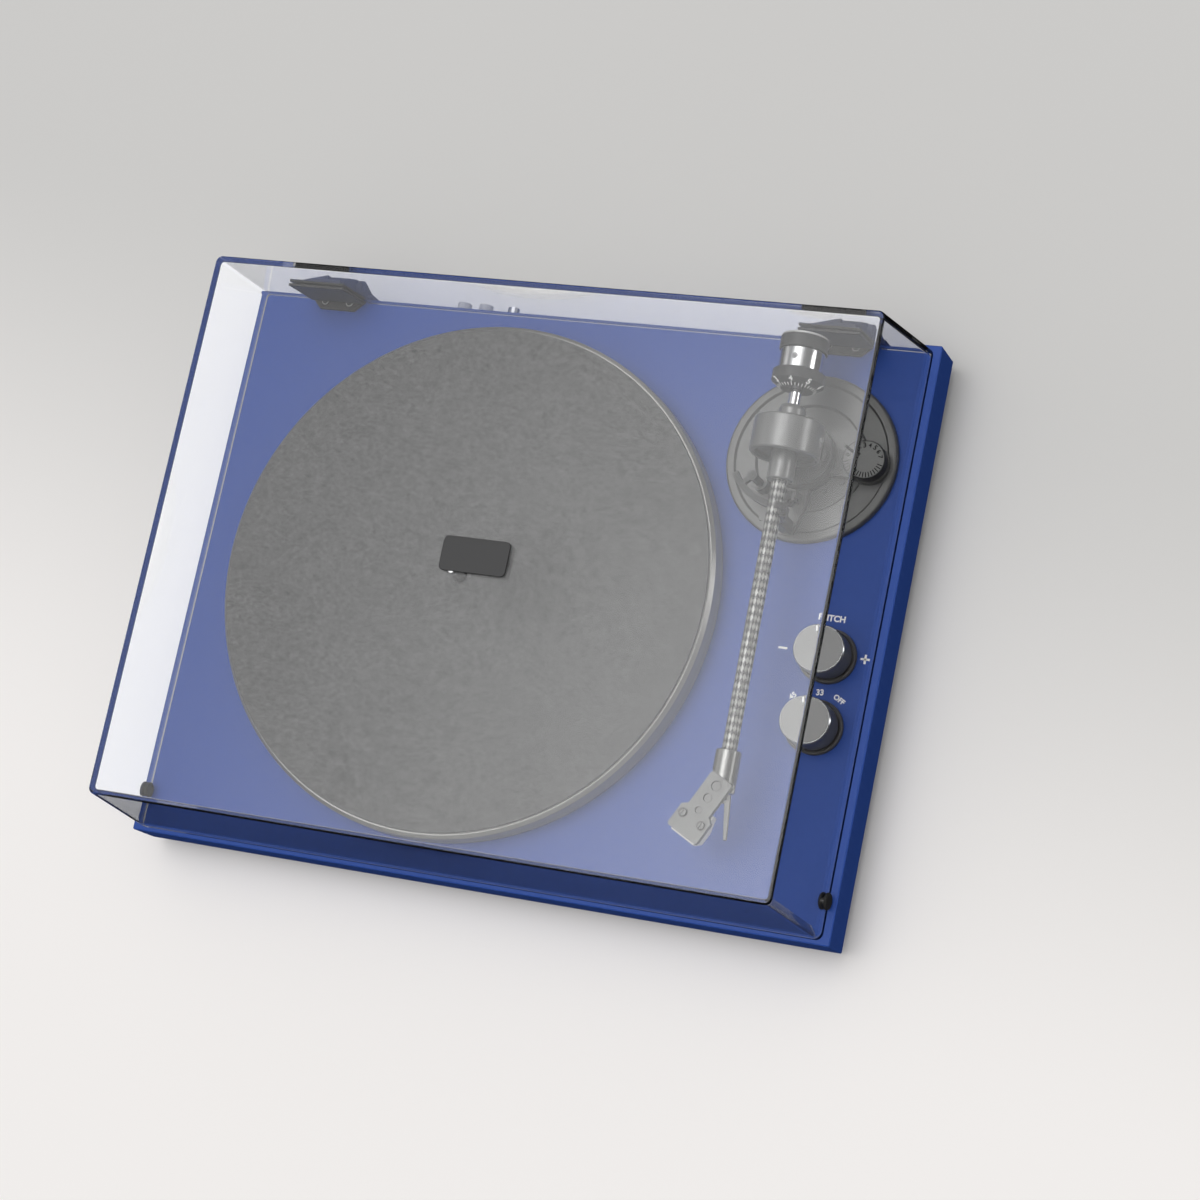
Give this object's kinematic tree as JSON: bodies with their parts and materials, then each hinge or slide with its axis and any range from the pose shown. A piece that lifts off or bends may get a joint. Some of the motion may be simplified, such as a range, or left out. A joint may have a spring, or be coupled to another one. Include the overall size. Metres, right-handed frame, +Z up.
{
  "type": "turntable",
  "caption": "Belt-drive record player: thin blue plinth, felt-topped platter, carbon tonearm with counterweight, speed and pitch knobs, clear hinged dust cover.",
  "frame": {"origin": "centre of the bounding box on the surface that the feet stand on", "axes": "+X to the right along the front, towards the tonearm side; +Y to the hinges at the back; +Z up"},
  "size_m": [0.428, 0.3438, 0.1131],
  "materials": {
    "blue_lacquer": "satin lacquer",
    "dark_plastic": "matte",
    "satin_black": "satin",
    "cast_grey": "bead blasted and anodised",
    "machined_aluminium": "turned",
    "brushed_grey": "brushed and anodised",
    "polished_steel": "polished",
    "grey_felt": "felt",
    "carbon_weave": "woven carbon fibre",
    "headshell_grey": "bead blasted",
    "clear_acrylic": "clear and polished",
    "black_rubber": "matte",
    "white_plastic": "moulded",
    "board_green": "coated",
    "brass": "turned"
  },
  "bodies": {
    "deck": {"plinth": "blue_lacquer", "bottom_plate": "dark_plastic", "foot_back_left": "black_rubber", "foot_back_right": "black_rubber", "foot_front_left": "black_rubber", "foot_front_right": "black_rubber", "hinge_base_left": "dark_plastic", "hinge_base_right": "dark_plastic", "hinge_pin_left": "polished_steel", "hinge_pin_right": "polished_steel", "bearing_housing": "brass", "motor": "polished_steel", "drive_belt": "black_rubber", "pitch_bezel": "satin_black", "speed_bezel": "satin_black", "pitch_potentiometer": "satin_black", "speed_switch": "satin_black", "control_board": "board_green", "tonearm_base": "cast_grey", "arm_rest": "satin_black", "socket_panel": "satin_black", "phono_jack_left": "brass", "phono_jack_right": "brass", "ground_post": "polished_steel", "power_inlet": "satin_black"},
    "platter_set": {"platter": "machined_aluminium", "slip_mat": "grey_felt", "sub_platter": "dark_plastic", "spindle": "polished_steel"},
    "pulley_set": {"motor_shaft": "polished_steel", "motor_pulley": "brass"},
    "gimbal": {"gimbal_drum": "cast_grey", "swing_post": "polished_steel", "pivot_screw_left": "polished_steel", "pivot_screw_right": "polished_steel"},
    "arm": {"arm_carrier": "cast_grey", "arm_tube": "carbon_weave", "headshell_collar": "cast_grey", "headshell": "headshell_grey", "finger_lift": "headshell_grey", "cartridge": "white_plastic", "stylus": "satin_black", "weight_shaft": "polished_steel"},
    "weight_slider": {"weight_sleeve": "black_rubber"},
    "weight": {"counterweight": "polished_steel", "weight_cap": "dark_plastic"},
    "scale": {"scale_ring": "satin_black"},
    "anti_skate": {"anti_skate_dial": "satin_black"},
    "lever": {"cue_lever": "satin_black"},
    "lift": {"cue_lift": "dark_plastic"},
    "clip": {"arm_clip": "dark_plastic"},
    "pitch_control": {"pitch_knob": "brushed_grey"},
    "speed_control": {"speed_knob": "brushed_grey"},
    "cover": {"dust_cover": "clear_acrylic", "cover_plate": "dark_plastic", "bumper_left": "black_rubber", "bumper_right": "black_rubber", "hinge_clip_left": "dark_plastic", "hinge_clip_right": "dark_plastic"}
  },
  "joints": [
    {"name": "platter_spin", "type": "hinge", "parent": "deck", "child": "platter_set", "pos_m": [-0.0329, -0.00245, 0.0353], "axis": [0, 0, 1], "continuous": true},
    {"name": "pulley_spin", "type": "hinge", "parent": "deck", "child": "pulley_set", "pos_m": [-0.08954, 0.07005, 0.0353], "axis": [0, 0, 1], "continuous": true},
    {"name": "arm_swing", "type": "hinge", "parent": "deck", "child": "gimbal", "pos_m": [0.1498, 0.09085, 0.0738], "axis": [0, 0, -1], "range_deg": [0, 46]},
    {"name": "arm_lift", "type": "hinge", "parent": "gimbal", "child": "arm", "pos_m": [0.1498, 0.09085, 0.0738], "axis": [-0.9999, -0.0122, 0], "range_deg": [0, 6]},
    {"name": "weight_slide", "type": "slide", "parent": "arm", "child": "weight_slider", "axis": [-0.0122, 0.9999, 0], "range_m": [-0.006, 0.0005]},
    {"name": "counterweight_turn", "type": "hinge", "parent": "weight_slider", "child": "weight", "pos_m": [0.1498, 0.09085, 0.0738], "axis": [-0.0122, 0.9999, 0], "range_deg": [-1083, 93]},
    {"name": "scale_ring_turn", "type": "hinge", "parent": "weight", "child": "scale", "pos_m": [0.1498, 0.09085, 0.0738], "axis": [-0.0122, 0.9999, 0], "continuous": true},
    {"name": "anti_skate_turn", "type": "hinge", "parent": "deck", "child": "anti_skate", "pos_m": [0.1853, 0.09125, 0.0353], "axis": [0, 0, 1], "range_deg": [0, 270]},
    {"name": "cue_lever_turn", "type": "hinge", "parent": "deck", "child": "lever", "pos_m": [0.1485, 0.06655, 0.0473], "axis": [-1, 0, 0], "range_deg": [0, 25.5]},
    {"name": "cue_lift_slide", "type": "slide", "parent": "deck", "child": "lift", "axis": [0, 0, 1], "range_m": [0, 0.005]},
    {"name": "arm_clip_close", "type": "hinge", "parent": "deck", "child": "clip", "pos_m": [0.157, 0.05005, 0.0778], "axis": [0, -1, 0], "range_deg": [0, 98]},
    {"name": "pitch_knob_turn", "type": "hinge", "parent": "deck", "child": "pitch_control", "pos_m": [0.1823, -0.01715, 0.0353], "axis": [0, 0, 1], "range_deg": [-135, 135]},
    {"name": "speed_knob_turn", "type": "hinge", "parent": "deck", "child": "speed_control", "pos_m": [0.1823, -0.05675, 0.0353], "axis": [0, 0, 1], "range_deg": [-45, 45]},
    {"name": "dust_cover_hinge", "type": "hinge", "parent": "deck", "child": "cover", "pos_m": [0, 0.16765, 0.0443], "axis": [-1, 0, 0], "range_deg": [0, 60]}
  ],
  "couplings": [
    {"joint": "pulley_spin", "follows": "platter_spin", "ratio": 9.4412},
    {"joint": "counterweight_turn", "follows": "weight_slide", "rad_per_m": 3141.6},
    {"joint": "cue_lever_turn", "follows": "cue_lift_slide", "rad_per_m": 87.266}
  ]
}
